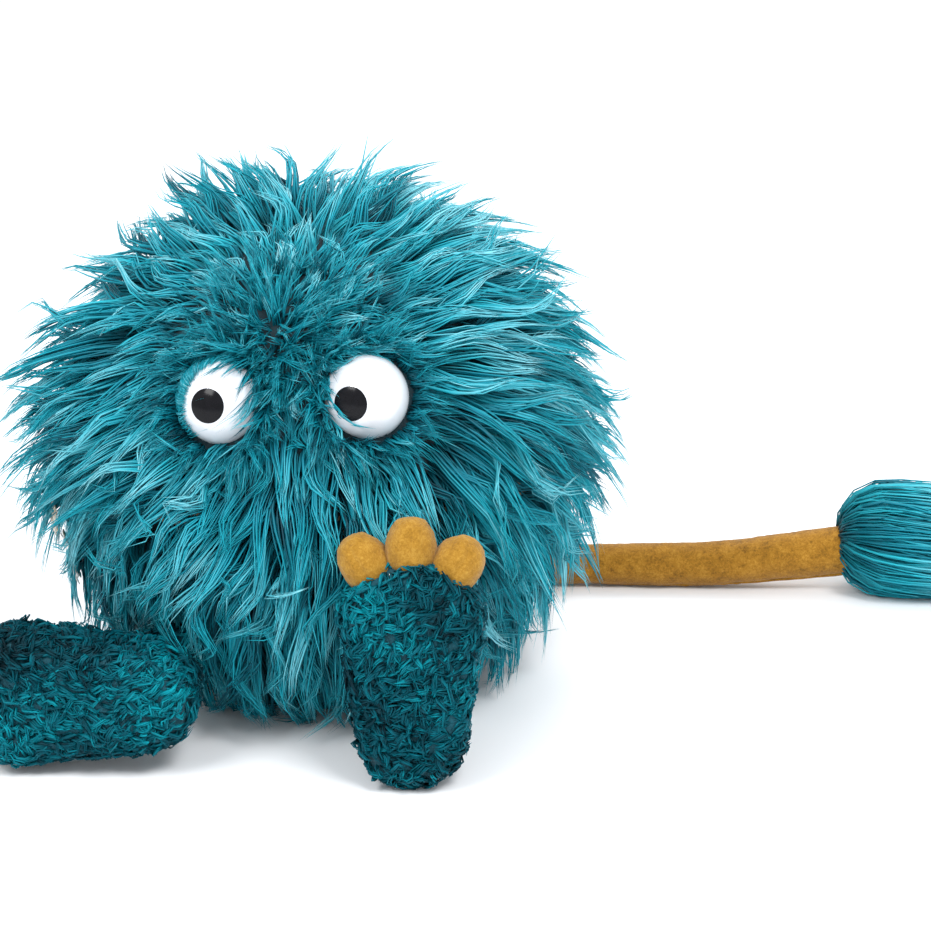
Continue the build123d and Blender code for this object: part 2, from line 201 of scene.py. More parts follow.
def colour_and_bump(mat, shade, stops, height, strength, distance):
    """Colours a material by a ramp over one output, and raises its surface by another."""
    link = mat.node_tree.links.new
    shader = mat.node_tree.nodes["Principled BSDF"]
    shades = ramp(mat, stops)
    bump = node(mat, "ShaderNodeBump", Strength=strength, Distance=distance)
    link(shade, shades.inputs[0])
    link(shades.outputs[0], shader.inputs["Base Color"])
    link(height, bump.inputs["Height"])
    link(bump.outputs[0], shader.inputs["Normal"])
    return mat


def textured(mat, kind, **settings):
    """A noise or wave texture on object coordinates."""
    made = node(mat, kind, **settings)
    place = node(mat, "ShaderNodeTexCoord")
    mat.node_tree.links.new(place.outputs["Object"], made.inputs["Vector"])
    return made


def pile_material(name, deep, rich, pale, roughness, **sockets):
    """Fur coloured by its chart: root to tip up the chart, the roots darker as painted shade deep in the
    coat, and each hair's own tint across it, the deep tint partly painted shade and the pale tint partly
    painted highlight.
    """
    mat = plain(name, rich[1][1], roughness, **sockets)
    link = mat.node_tree.links.new
    chart = node(mat, "ShaderNodeUVMap")
    chart.uv_map = CHART
    split = node(mat, "ShaderNodeSeparateXYZ")
    link(chart.outputs[0], split.inputs[0])
    ramps = [ramp(mat, stops) for stops in (deep, rich, pale)]
    for made in ramps:
        link(split.outputs["Y"], made.inputs[0])
    color = ramps[0].outputs[0]
    for made, (low, high) in zip(ramps[1:], ((0.0, 0.5), (0.5, 1.0))):
        share = node(mat, "ShaderNodeMapRange")
        share.inputs["From Min"].default_value = low
        share.inputs["From Max"].default_value = high
        link(split.outputs["X"], share.inputs[0])
        mix = mat.node_tree.nodes.new("ShaderNodeMix")
        mix.data_type = "RGBA"
        link(share.outputs[0], mix.inputs[0])
        link(color, mix.inputs[6])
        link(made.outputs[0], mix.inputs[7])
        color = mix.outputs[2]
    link(color, mat.node_tree.nodes["Principled BSDF"].inputs["Base Color"])
    return mat


def rough_material(name, dark, light, scale, roughness, bump=0.6, distance=0.001, **sockets):
    """Mottled colour and fine bumps, for pile, cloth, foam and moulded plastic."""
    mat = plain(name, light, roughness, **sockets)
    broad = textured(mat, "ShaderNodeTexNoise", Scale=scale, Detail=4.0, Roughness=0.6)
    fine = textured(mat, "ShaderNodeTexNoise", Scale=scale * 9, Detail=3.0, Roughness=0.7)
    shade = weighted(mat, broad.outputs[0], fine.outputs[0], 0.45)
    return colour_and_bump(mat, shade, [(0.30, dark), (0.70, light)], fine.outputs[0], bump, distance)


def woven_material(name, dark, light, threads, stripes=None, **sockets):
    """Woven tape or cloth: crossing threads, with broad stripes if it has them."""
    mat = plain(name, light, 0.75, **sockets)
    cross = node(mat, "ShaderNodeMath")
    cross.operation = "MULTIPLY"
    for socket, axis in zip(cross.inputs, ("X", "Z")):
        wave = textured(mat, "ShaderNodeTexWave", Scale=threads, Distortion=1.0, Detail=2.0)
        wave.bands_direction = axis
        mat.node_tree.links.new(wave.outputs["Fac"], socket)
    shade = cross.outputs[0]
    if stripes:
        band = textured(mat, "ShaderNodeTexWave", Scale=stripes, Distortion=0.3, Detail=1.0)
        band.bands_direction = "Z"
        shade = weighted(mat, shade, band.outputs["Fac"], 0.4)
    return colour_and_bump(mat, shade, [(0.15, dark), (0.65, light)], cross.outputs[0], 0.5, 0.0004)


def speckled_felt(name, dark, mid, light):
    """Wool felt: matted fibres in three shades, with a fine nap."""
    mat = plain(name, mid, 0.9, Sheen_Weight=0.15, Sheen_Roughness=0.5, Specular_IOR_Level=0.15)
    fibres = textured(mat, "ShaderNodeTexNoise", Scale=900.0, Detail=6.0, Roughness=0.75, Distortion=0.6)
    clumps = textured(mat, "ShaderNodeTexNoise", Scale=190.0, Detail=3.0, Roughness=0.6)
    shade = weighted(mat, fibres.outputs[0], clumps.outputs[0], 0.65)
    return colour_and_bump(mat, shade, [(0.34, dark), (0.50, mid), (0.64, light)], shade, 0.7, 0.0006)


# ---- hair meshes ---------------------------------------------------------------------------
CORNERS = 3                 # sides of a hair
HAIR_DEPTH = 0.7            # how thick a hair is for its width


def hair_faces(ring):
    """The four-sided and three-sided faces of one hair that has this many rings of corners."""
    quads = [(k * CORNERS + c, k * CORNERS + (c + 1) % CORNERS,
              (k + 1) * CORNERS + (c + 1) % CORNERS, (k + 1) * CORNERS + c)
             for k in range(ring - 1) for c in range(CORNERS)]
    last = (ring - 1) * CORNERS
    tops = [(last + c, last + (c + 1) % CORNERS, ring * CORNERS) for c in range(CORNERS)]
    return np.array(quads), np.array(tops + [(2, 1, 0)])


def tubes(name, paths, widths, tints, material, flat=None):
    """Closed three-sided hairs. paths is hairs x points x 3, widths hairs x points, tints hairs."""
    hairs, points, _ = paths.shape
    along = np.empty_like(paths)
    along[:, 1:-1] = paths[:, 2:] - paths[:, :-2]
    along[:, 0] = paths[:, 1] - paths[:, 0]
    along[:, -1] = paths[:, -1] - paths[:, -2]
    along = unit(along)
    outward = unit(paths[:, :1] - CENTRE) if flat is None else flat[:, None]
    side = unit(np.cross(along, np.broadcast_to(outward, along.shape)) + 1e-9)
    lift = np.cross(side, along)
    ring = points - 1
    angles = np.radians([90, 210, 330])
    sideways = side[:, :ring, None] * np.cos(angles)[:, None]
    upward = lift[:, :ring, None] * np.sin(angles)[:, None] * HAIR_DEPTH
    corners = paths[:, :ring, None] + widths[:, :ring, None, None] * (sideways + upward)
    count = ring * CORNERS + 1
    verts = np.concatenate([corners.reshape(hairs, ring * CORNERS, 3), paths[:, -1:]], axis=1).reshape(-1, 3)
    base = (np.arange(hairs) * count)[:, None, None]
    quads, tops = hair_faces(ring)
    quads = (quads[None] + base).reshape(-1, 4)
    tops = (tops[None] + base).reshape(-1, 3)
    mesh = bpy.data.meshes.new(name)
    mesh.vertices.add(len(verts))
    mesh.vertices.foreach_set("co", verts.astype(np.float32).ravel())
    loops = np.concatenate([quads.ravel(), tops.ravel()])
    sizes = np.concatenate([np.full(len(quads), 4), np.full(len(tops), 3)])
    mesh.loops.add(len(loops))
    mesh.loops.foreach_set("vertex_index", loops.astype(np.int32))
    mesh.polygons.add(len(sizes))
    mesh.polygons.foreach_set("loop_start", np.concatenate([[0], np.cumsum(sizes)[:-1]]).astype(np.int32))
    mesh.update(calc_edges=True)
    level = np.concatenate([np.repeat(np.arange(ring) / (points - 1), CORNERS), [1.0]])
    around = np.concatenate([np.tile([0.1, 0.5, 0.9], ring), [0.5]])
    owner, local = loops // count, loops % count
    chart = np.stack([(tints[owner] + around[local]) / TINTS, np.clip(level[local], 0.004, 0.996)], axis=1)
    layer = mesh.uv_layers.new(name=CHART)
    layer.data.foreach_set("uv", chart.astype(np.float32).ravel())
    mesh.polygons.foreach_set("use_smooth", np.ones(len(sizes), bool))
    mesh.materials.append(material)
    mesh.validate()
    made = bpy.data.objects.new(name, mesh)
    bpy.context.collection.objects.link(made)
    return made


# ---- the ball's long fur -------------------------------------------------------------------
TURN = 6.28                                 # a full turn, for phases that only need to vary
PART_POINT = direction(-8, 45)              # the hair parts between and above the eyes
EYE_OUT = {side: unit(np.array(middle(f"{side}_eye_stem")) - CENTRE) for side in SIDES}
EYE_BASE = {side: CENTRE + EYE_OUT[side] * (SKIN_RADIUS + 0.001) for side in SIDES}
EYE_RADIUS = (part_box("left_eye")[1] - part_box("left_eye")[0]).x / 2
LID = unit(np.array([-0.75, 0.0, 0.66]))    # fur droops over the right eye from this side
LOCKS = 2150
HAIRS_PER_LOCK = 14
LOCK_SPREAD = 0.0062                        # half the width of a lock where it starts
LOCK_LENGTH = 68                            # mm
LOCK_RISE, LOCK_LIE = 48, 26                # degrees off the skin, at a lock's root and tip
SLEEVE_CLEARING = 0.046                     # no lock starts this near the sleeve's middle
SITTING_HEIGHT = 0.026                      # locks are thinner below this, where the ball sits
FLOOR_GAP = 0.0008                          # hair lies on the floor, never under it


def hair_flow(points):
    """The way hair is combed along the ball: away from the parting, and downwards low on the ball."""
    out = unit(points - CENTRE)
    away = unit(out * (out @ PART_POINT)[..., None] - PART_POINT)
    down = unit(out * out[..., 2:3] - np.array([0, 0, 1.0]))
    pull = (0.15 + 0.6 * smooth(-out[..., 2], -0.1, 0.8) + 0.5 * smooth(out[..., 1], -0.2, 0.7))[..., None]
    return unit(away * (1 - np.minimum(pull, 0.9)) + down * pull)


def sphere_points(count, rng, jitter):
    """Evenly spread directions, on a spiral from pole to pole, each shaken a little."""
    i = np.arange(count) + 0.5
    z = 1 - 2 * i / count
    turn = math.pi * (1 + 5 ** 0.5) * i
    r = np.sqrt(1 - z * z)
    points = np.stack([r * np.cos(turn), r * np.sin(turn), z], axis=1)
    return unit(points + rng.normal(0, jitter, points.shape))


def waves(points, rng, scale):
    """A smooth random number for each point, between about -1 and 1."""
    total = np.zeros(len(points))
    for _ in range(6):
        axis = unit(rng.normal(0, 1, 3))
        total += np.sin(points @ axis * scale * rng.uniform(0.6, 1.4) + rng.uniform(0, TURN))
    return total / 3


def grow_locks(roots, rng, steps=7):
    """The middle line of each lock."""
    out = unit(roots - CENTRE)
    closeness = out @ PART_POINT
    near_part = smooth(closeness, math.cos(math.radians(42)), math.cos(math.radians(10)))
    length = (LOCK_LENGTH + 6 * waves(out, rng, 7) + rng.normal(0, 5, len(roots))) * MM
    length *= 1 - 0.62 * near_part
    length *= 1 - 0.10 * smooth(out[:, 2], 0.5, 1.0)
    length *= 1 - 0.45 * smooth(-out[:, 2], 0.72, 0.95)
    start_lift = np.radians(LOCK_RISE + rng.normal(0, 6, len(roots)) - 14 * near_part)
    end_lift = np.radians(LOCK_LIE + 9 * waves(out, rng, 9) + rng.normal(0, 7, len(roots)) - 12 * near_part)
    front_low = smooth(-out[:, 1], 0.1, 0.8) * smooth(-out[:, 2], -0.45, 0.15)
    end_lift -= np.radians(20) * front_low
    bias = 0.30 * waves(out, rng, 8) + rng.normal(0, 0.13, len(roots))
    swing = (0.52 + 0.45 * front_low) * rng.normal(0, 1, len(roots))
    phase = rng.uniform(0, TURN, len(roots))
    bends = rng.uniform(0.75, 1.45, len(roots)) * (1 + 0.3 * front_low)
    sag = 0.10 + 0.25 * smooth(-out[:, 2], -0.3, 0.5)
    lines = np.empty((len(roots), steps, 3))
    lines[:, 0] = roots
    here = roots.copy()
    for k in range(1, steps):
        s = (k - 0.5) / (steps - 1)
        normal = unit(here - CENTRE)
        comb = hair_flow(here)
        across = np.cross(normal, comb)
        turn = bias + swing * np.sin(phase + TURN * bends * s) * (0.4 + s)
        comb = comb * np.cos(turn)[:, None] + across * np.sin(turn)[:, None]
        lift = start_lift + (end_lift - start_lift) * s
        step = normal * np.sin(lift)[:, None] + comb * np.cos(lift)[:, None]
        step[:, 2] -= sag * s
        here = here + unit(step) * (length / (steps - 1))[:, None]
        lines[:, k] = here
    return lines


def clear_of_eyes(paths, rng):
    """Pushes hair aside where it would lie across an eye, except for a few stray hairs."""
    stray = rng.random(len(paths)) < 0.010
    narrowest = EYE_RADIUS * 0.86
    for side in SIDES:
        out, base = EYE_OUT[side], EYE_BASE[side]
        offset = paths - base
        height = offset @ out
        flat = offset - height[..., None] * out
        away = np.linalg.norm(flat, axis=-1)
        dome = np.sqrt(np.maximum(EYE_RADIUS ** 2 - np.clip(height, 0, EYE_RADIUS) ** 2, 0))
        room = np.where(height < EYE_RADIUS, np.maximum(dome, narrowest),
                        narrowest + (height - EYE_RADIUS) * 0.15)
        room = room + 0.0006
        push = (away < room) & (height > -0.004) & ~stray[:, None]
        if side == "right":
            push &= ~((offset @ LID > EYE_RADIUS * 0.42) & (height > EYE_RADIUS * 0.55))
        way = flat / np.maximum(away, 1e-6)[..., None]
        moved = paths + way * (room - away)[..., None]
        paths = np.where(push[..., None], moved, paths)
    return paths


def fill_locks(lines, per_lock, rng, spread):
    """Hairs around each lock's middle line: loose at the root, drawn together at the tip."""
    locks, steps, _ = lines.shape
    hairs = locks * per_lock
    lock = np.repeat(np.arange(locks), per_lock)
    reach = np.clip(rng.normal(0.93, 0.11, hairs), 0.45, 1.10)
    place = np.linspace(0, 1, steps)[None] * reach[:, None] * (steps - 1)
    low = np.clip(place.astype(int), 0, steps - 2)
    part = (place - low)[..., None]
    guide = lines[lock]
    rows = np.arange(hairs)[:, None]
    path = guide[rows, low] * (1 - part) + guide[rows, low + 1] * part
    normal = unit(guide[:, 0] - CENTRE)
    ahead = unit(guide[:, 1] - guide[:, 0])
    side = unit(np.cross(ahead, normal))
    rise = np.cross(side, ahead)
    angle = rng.uniform(0, TURN, hairs)
    radius = np.sqrt(rng.uniform(0, 1, hairs)) * spread
    s = np.linspace(0, 1, steps)[None]
    gather = (1 - s) ** 0.95 * 0.93 + 0.07
    puff = 1 + 0.40 * np.sin(math.pi * s)
    stray = 1 + 3.0 * (rng.random((1, hairs, 1)) < 0.05)
    loose = rng.normal(0, 1, (2, hairs, 1)) * 0.0011 * stray * s ** 2
    wander = [rng.normal(0, 0.0004, (hairs, 1))
              * np.sin(TURN * s * rng.uniform(0.6, 1.6, (hairs, 1)) + rng.uniform(0, TURN, (hairs, 1)))
              for _ in range(2)]
    sideways = (radius * np.cos(angle))[:, None] * gather * puff + loose[0] + wander[0]
    upward = (radius * np.sin(angle))[:, None] * 0.6 * gather + loose[1] * 0.6 + wander[1]
    upward = upward * (0.3 + 0.7 * s)
    path = path + side[:, None] * sideways[..., None] + rise[:, None] * upward[..., None]
    path[..., 2] = np.maximum(path[..., 2], FLOOR_GAP + rng.uniform(0, 0.002, (hairs, 1)))
    return path, lock


def body_at(points):
    """Which part of the puppet carries fur that starts at each point: 0 head, 1 gusset, 2 body."""
    behind = points[:, 1] - FOLD.y
    height = points[:, 2] - FOLD.z
    return np.where(height < 0, 2, np.where((behind > 0.004) & (height < behind * math.tan(RAKE)), 1, 0))


def lock_roots(rng):
    """Where locks start: all over the skin but for the eyes, the sleeve and the labels."""
    roots = CENTRE + sphere_points(LOCKS, rng, 0.016) * SKIN_RADIUS
    keep = np.ones(len(roots), bool)
    for side in SIDES:
        keep &= np.linalg.norm(roots - EYE_BASE[side], axis=1) > EYE_RADIUS * 0.97
    sleeve = middle("sleeve_hem")
    to_sleeve = np.hypot(roots[:, 0] - sleeve.x, roots[:, 2] - sleeve.z)
    keep &= (to_sleeve > SLEEVE_CLEARING) | (roots[:, 1] < 0)
    keep &= (roots[:, 2] > SITTING_HEIGHT) | (rng.random(len(roots)) < 0.5)
    for label in LABELS:
        label_out = unit(np.array(middle(label)) - CENTRE)
        keep &= unit(roots - CENTRE) @ (label_out + np.array([0, 0, 0.06])) < math.cos(math.radians(9))
    return roots[keep]


def make_fur(material):
    """The long locks, as pairs of a number for the body that carries them and a piece."""
    rng = np.random.default_rng(11)
    roots = lock_roots(rng)
    lines = grow_locks(roots, rng)
    owner = body_at(roots)
    height = unit(roots - CENTRE)[:, 2]
    # Painted light and shade: locks high on the ball get a paler tint, as if lit from above, and locks low on
    # it a darker tint, as painted shade.
    painted_top_light = 0.47 + 0.15 * smooth(height, 0.35, 0.85) - 0.12 * smooth(-height, 0.25, 0.75)
    patches = 0.10 * waves(unit(roots - CENTRE), rng, 14)
    lock_tint = np.clip(painted_top_light + patches + rng.normal(0, 0.19, len(roots)), 0, 1)
    pieces = []
    for body, name, parts in ((0, "head_hair", 4), (1, "gusset_hair", 1), (2, "body_hair", 3)):
        chosen = np.flatnonzero(owner == body)
        turn = np.arctan2(roots[chosen, 0], -roots[chosen, 1])
        for p, group in enumerate(np.array_split(chosen[np.argsort(turn)], parts)):
            path, lock = fill_locks(lines[group], HAIRS_PER_LOCK, rng, LOCK_SPREAD)
            path = clear_of_eyes(path, rng)
            hairs, steps, _ = path.shape
            thick = np.clip(rng.normal(0.55, 0.13, hairs), 0.2, 0.95)[:, None] * MM
            s = np.linspace(0, 1, steps)[None]
            widths = thick * (0.75 + 0.45 * np.sin(math.pi * s)) * (1 - 0.75 * s ** 2)
            tint = np.clip(lock_tint[group][lock] + rng.normal(0, 0.10, hairs), 0, 0.999)
            piece = tubes(f"{name}_{p + 1}", path, widths, np.floor(tint * TINTS), material)
            pieces.append((body, piece))
    return pieces + [(0, make_matted_fur(material)), (0, make_fur_lid(material))]


def make_matted_fur(material):
    """Short matted hair on the parting, and round the rims of the eyes."""
    parting_tufts, rim_tufts, hairs_per_tuft = 620, 210, 8
    rng = np.random.default_rng(12)
    out = unit(PART_POINT + rng.normal(0, 0.19, (parting_tufts, 3)))
    spots = [CENTRE + out * SKIN_RADIUS]
    ways = [unit(out * 0.75 + rng.normal(0, 0.45, out.shape))]
    lengths = [rng.uniform(0.010, 0.022, len(out))]
    for side in SIDES:
        angle = rng.uniform(0, 2 * math.pi, rim_tufts)
        across = unit(np.cross(EYE_OUT[side], [0, 0, 1.0]))
        round_eye = np.outer(np.cos(angle), across) + np.outer(np.sin(angle), np.cross(across, EYE_OUT[side]))
        spots.append(EYE_BASE[side] + round_eye * EYE_RADIUS * rng.uniform(1.03, 1.22, (len(angle), 1)))
        ways.append(unit(EYE_OUT[side] * 0.8 + round_eye * rng.uniform(0.4, 1.0, (len(angle), 1))
                         + rng.normal(0, 0.15, round_eye.shape)))
        lengths.append(rng.uniform(0.010, 0.017, len(angle)))
    spots, ways, lengths = np.concatenate(spots), np.concatenate(ways), np.concatenate(lengths)
    away = np.min([np.linalg.norm(spots - EYE_BASE[side], axis=1) for side in SIDES], axis=0)
    spots, ways, lengths = (kept[away > EYE_RADIUS] for kept in (spots, ways, lengths))
    s = np.linspace(0, 1, 5)[None, :, None]
    bend = rng.normal(0, 0.35, spots.shape)[:, None] + hair_flow(spots)[:, None] * 0.5
    lines = spots[:, None] + (ways[:, None] * s + bend * s ** 2) * lengths[:, None, None]
    path, lock = fill_locks(lines, hairs_per_tuft, rng, 0.0028)
    path = clear_of_eyes(path, rng)
    hairs = len(path)
    widths = np.clip(rng.normal(0.36, 0.08, hairs), 0.18, 0.6)[:, None] * MM * (1.1 - s[..., 0] ** 2)
    tint = np.clip(rng.normal(0.32, 0.14, len(spots))[lock] + rng.normal(0, 0.12, hairs), 0, 0.999)
    return tubes("matted_hair", path, widths, np.floor(tint * TINTS), material)


def make_fur_lid(material):
    """Hair that droops over the upper part of the right eye, close to its dome."""
    rng = np.random.default_rng(13)
    out, base = EYE_OUT["right"], EYE_BASE["right"]
    up = unit(LID - out * (LID @ out))
    side = np.cross(out, up)
    hairs = 900
    angle = np.radians(np.clip(rng.normal(0, 38, hairs), -80, 75))
    rim = np.outer(np.cos(angle), up) + np.outer(np.sin(angle), side)
    reach = np.radians(30 + 34 * np.cos(angle * 1.1).clip(0) * rng.uniform(0.7, 1.1, hairs))
    s = np.linspace(0, 1, 6)[None]
    climb = np.radians(-12) + (reach[:, None] + np.radians(12)) * s
    swerve = (rng.normal(0, 0.22, hairs)[:, None] + 0.35) * s
    turned_rim = (rim[:, None] * np.cos(swerve)[..., None]
                  + np.cross(out, rim)[:, None] * np.sin(swerve)[..., None])
    lift = (EYE_RADIUS + rng.uniform(0.0004, 0.0036, hairs)[:, None] * (1.15 - 0.8 * s))[..., None]
    path = base + lift * (turned_rim * np.cos(climb)[..., None] + out * np.sin(climb)[..., None])
    widths = np.clip(rng.normal(0.34, 0.08, hairs), 0.16, 0.55)[:, None] * MM * (1.05 - 0.8 * s ** 2)
    tint = np.clip(rng.normal(0.45, 0.2, hairs), 0, 0.999)
    flat = np.broadcast_to(out, (hairs, 3))
    return tubes("lid_hair", path, widths, np.floor(tint * TINTS), material, flat=flat)


# ---- modelling -----------------------------------------------------------------------------
def object_mode():
    if bpy.context.object and bpy.context.object.mode != "OBJECT":
        bpy.ops.object.mode_set(mode="OBJECT")


def select_only(made):
    bpy.ops.object.select_all(action="DESELECT")
    made.select_set(True)
    bpy.context.view_layer.objects.active = made


def begin(name, add, scale=(1, 1, 1), **settings):
    """A new primitive, alone in the selection, with its place in its mesh."""
    object_mode()
    bpy.ops.object.select_all(action="DESELECT")
    add(**settings)
    made = bpy.context.object
    made.name = name
    made.data.name = name
    made.scale = scale
    bpy.ops.object.transform_apply(location=True, rotation=True, scale=True)
    return made


def editing(made, chosen=None, kind="VERT"):
    """Edit mode with only the vertices or faces that chosen() picks."""
    object_mode()
    bpy.ops.object.mode_set(mode="EDIT")
    bpy.ops.mesh.select_mode(type=kind)
    bpy.ops.mesh.select_all(action="SELECT" if chosen is None else "DESELECT")
    if chosen is not None:
        bpy.ops.object.mode_set(mode="OBJECT")
        items = made.data.vertices if kind == "VERT" else made.data.polygons
        for item in items:
            item.select = bool(chosen(item.co if kind == "VERT" else item))
        bpy.ops.object.mode_set(mode="EDIT")


def modify(made, kind, **settings):
    """Adds a modifier and applies it."""
    object_mode()
    modifier = made.modifiers.new(kind.lower(), kind)
    for name, value in settings.items():
        setattr(modifier, name, value)
    bpy.context.view_layer.objects.active = made
    bpy.ops.object.modifier_apply(modifier=modifier.name)


def roughen(made, name, size, strength, level=0.5, depth=2):
    """Pushes the surface in and out by cloudy lumps of this size."""
    texture = bpy.data.textures.new(name, "CLOUDS")
    texture.noise_scale = size
    texture.noise_depth = depth
    modify(made, "DISPLACE", texture=texture, strength=strength, mid_level=level, texture_coords="LOCAL")


def finish(made, material, smooth_angle=60):
    """Leaves a piece in object mode, shaded smooth up to this angle, with its material."""
    object_mode()
    select_only(made)
    bpy.ops.object.shade_smooth_by_angle(angle=math.radians(smooth_angle))
    made.data.materials.clear()
    made.data.materials.append(material)
    return made


def undercoat(name, cuts, material, hole=None):
    """The dense short pile that the long hair grows from: part of a ball with a rough outer face."""
    thick, room_inside = 0.005, 0.0015
    made = begin(name, bpy.ops.mesh.primitive_uv_sphere_add, segments=96, ring_count=60,
                 radius=SKIN_RADIUS + thick, location=BALL)
    for place, normal in cuts:
        editing(made)
        bpy.ops.mesh.bisect(plane_co=place, plane_no=normal, clear_inner=True)
    if hole:
        editing(made, hole, "FACE")
        bpy.ops.mesh.delete(type="FACE")
    roughen(made, name + "_tufts", 0.008, 0.004, level=0.6)
    modify(made, "SOLIDIFY", thickness=thick - room_inside, offset=-1)
    return finish(made, material)


def surface_samples(made, count, rng):
    """Random places on a mesh, with their outward normals."""
    mesh = made.data
    mesh.calc_loop_triangles()
    corners = np.empty(len(mesh.loop_triangles) * 3, np.int32)
    mesh.loop_triangles.foreach_get("vertices", corners)
    co = np.empty(len(mesh.vertices) * 3, np.float32)
    mesh.vertices.foreach_get("co", co)
    tri = co.reshape(-1, 3)[corners.reshape(-1, 3)].astype(float)
    cross = np.cross(tri[:, 1] - tri[:, 0], tri[:, 2] - tri[:, 0])
    area = np.linalg.norm(cross, axis=1)
    picked = rng.choice(len(tri), count, p=area / area.sum())
    a, b = np.sqrt(rng.random(count)), rng.random(count)
    spots = (tri[picked, 0] * (1 - a)[:, None] + tri[picked, 1] * (a * (1 - b))[:, None]
             + tri[picked, 2] * (a * b)[:, None])
    return spots, unit(cross[picked])


# ---- legs and feet -------------------------------------------------------------------------
PILE = 0.0012               # how far the plush stands off a foot
PLUSH_REACH = 0.0075        # length of a plush tuft
FOOT_TUFTS, LEG_TUFTS, HAIRS_PER_TUFT = 2200, 520, 5
LEG_RADIUS = 0.0165
TOES = ("inner_toe", "middle_toe", "outer_toe")
TOE_SIZE = (0.0113, 0.0112, 0.0148)         # half its width, depth and height
TOE_SINK = 0.0034           # from the outer end of a CAD toe in to where the felt toe is centred
FEET = {
    "left": {"along": Vector((0, 0, 1)), "across": Vector((1, 0, 0))},
    "right": {"along": Vector((-1, 0, 0)), "across": Vector((0, 0, 1))},
}


def foot_facts(side):
    """Heel end, length, width and depth of a foot, read from its cover's box."""
    low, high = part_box(f"{side}_foot_cover")
    size = high - low
    length, width = abs(size.dot(FEET[side]["along"])), abs(size.dot(FEET[side]["across"]))
    heel = (low + high) / 2 - FEET[side]["along"] * (length / 2)
    return heel, length, width, size.y


def make_foot(side, material):
    """A foot bag, wide at the toes and narrow at the heel, with softened edges."""
    along, across = FEET[side]["along"], FEET[side]["across"]
    heel, length, width, depth = foot_facts(side)
    toe_radius = width / 2 - PILE
    heel = heel + along * PILE
    length, depth = length - 2 * PILE, depth - 2 * PILE
    heel_radius = toe_radius * 0.74
    toe_centre = heel + along * (length - toe_radius)
    turn = Vector((0, -1, 0)).to_track_quat("Z", "Y").to_euler()
    made = begin(f"{side}_foot", bpy.ops.mesh.primitive_cylinder_add, vertices=40, radius=toe_radius,
                 depth=depth, location=toe_centre, rotation=turn)
    squeeze = heel_radius / toe_radius
    editing(made, lambda co: (co - toe_centre).dot(along) < 0.001)
    bpy.ops.transform.translate(value=-along * (length - toe_radius - heel_radius))
    in_plane = [abs(a) + abs(b) > 0.5 for a, b in zip(along, across)]
    bpy.ops.transform.resize(value=tuple(squeeze if narrows else 1 for narrows in in_plane),
                             center_override=tuple(heel + along * heel_radius))
    editing(made, lambda face: abs(face.normal.y) > 0.9, "FACE")
    bpy.ops.mesh.inset(thickness=toe_radius * 0.35)
    bpy.ops.mesh.inset(thickness=toe_radius * 0.3)
    bpy.ops.object.mode_set(mode="OBJECT")
    modify(made, "BEVEL", width=0.011, segments=4, limit_method="ANGLE", angle_limit=math.radians(50))
    modify(made, "SUBSURF", levels=2, render_levels=2)
    roughen(made, f"{side}_foot_lumps", 0.022, 0.0035, level=0.35)
    roughen(made, f"{side}_foot_curls", 0.004, 0.0025, level=0.45)
    return finish(made, material)


def curls(name, spots, normals, lay, rng, material, shades):
    """Short plush lying down in small wavy tufts, which all but cover each other."""
    tufts = len(spots)
    lean = unit(lay + rng.normal(0, 0.30, (tufts, 3)))
    lean = unit(lean - normals * np.sum(lean * normals, axis=1, keepdims=True))
    side = np.cross(normals, lean)
    owner = np.repeat(np.arange(tufts), HAIRS_PER_TUFT)
    hairs = len(owner)
    t = np.linspace(0, 1, 4)[None]
    length = (rng.normal(1, 0.18, tufts)[owner] * rng.uniform(0.75, 1.15, hairs) * PLUSH_REACH)[:, None]
    height = (rng.normal(0.30, 0.10, tufts)[owner] * rng.uniform(0.8, 1.2, hairs) * PLUSH_REACH)[:, None]
    swing = (rng.normal(0, 0.28, tufts)[owner] * PLUSH_REACH)[:, None]
    phase = rng.uniform(0, TURN, tufts)[owner][:, None]
    spread = rng.normal(0, 0.0010, (2, hairs))[:, :, None] * (1 - 0.6 * t)
    ahead = length * (t - 0.3) + spread[0]
    sideways = swing * np.sin(4.5 * t + phase) + spread[1]
    upward = height * np.sin(np.minimum(t * 2.9 + 0.25, 2.75)) - 0.1 * PLUSH_REACH
    paths = (spots[owner][:, None] + lean[owner][:, None] * ahead[..., None]
             + side[owner][:, None] * sideways[..., None] + normals[owner][:, None] * upward[..., None])
    paths[..., 2] = np.maximum(paths[..., 2], FLOOR_GAP)
    thick = rng.normal(0.46, 0.09, hairs).clip(0.22)[:, None] * MM
    widths = thick * (0.85 + 0.5 * np.sin(math.pi * t)) * (1.05 - 0.7 * t ** 2)
    tint = np.clip(shades[owner] + rng.normal(0, 0.10, hairs), 0, 0.999)
    return tubes(name, paths, widths, np.floor(tint * TINTS), material, flat=normals[owner])


def combed(spots, main, rng):
    """A lay that drifts smoothly over the surface about its main direction."""
    drift = np.stack([waves(spots / 0.016, rng, 1.0) for _ in range(3)], axis=1)
    return unit(np.broadcast_to(np.array(main), spots.shape) * 0.8 + drift * 1.1)


def make_leg_and_foot(side, cover, curl, felt):
    rng = np.random.default_rng(31 if side == "left" else 32)
    along = FEET[side]["along"]
    foot = make_foot(side, cover)
    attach(foot, f"{side}_foot")
    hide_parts(f"{side}_foot_cover")
    spots, normals = surface_samples(foot, FOOT_TUFTS, rng)
    shade = np.clip(0.45 + 0.26 * waves(spots / 0.011, rng, 1.0) + rng.normal(0, 0.12, len(spots)), 0, 1)
    plush = curls(f"{side}_foot_plush", spots, normals, combed(spots, -along, rng), rng, curl, shade)
    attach(plush, f"{side}_foot")
    heel, length, width, _ = foot_facts(side)
    for toe in TOES:
        make_toe(side, toe, heel + along * (length - width / 2), felt)
    make_leg(side, cover, curl, rng)


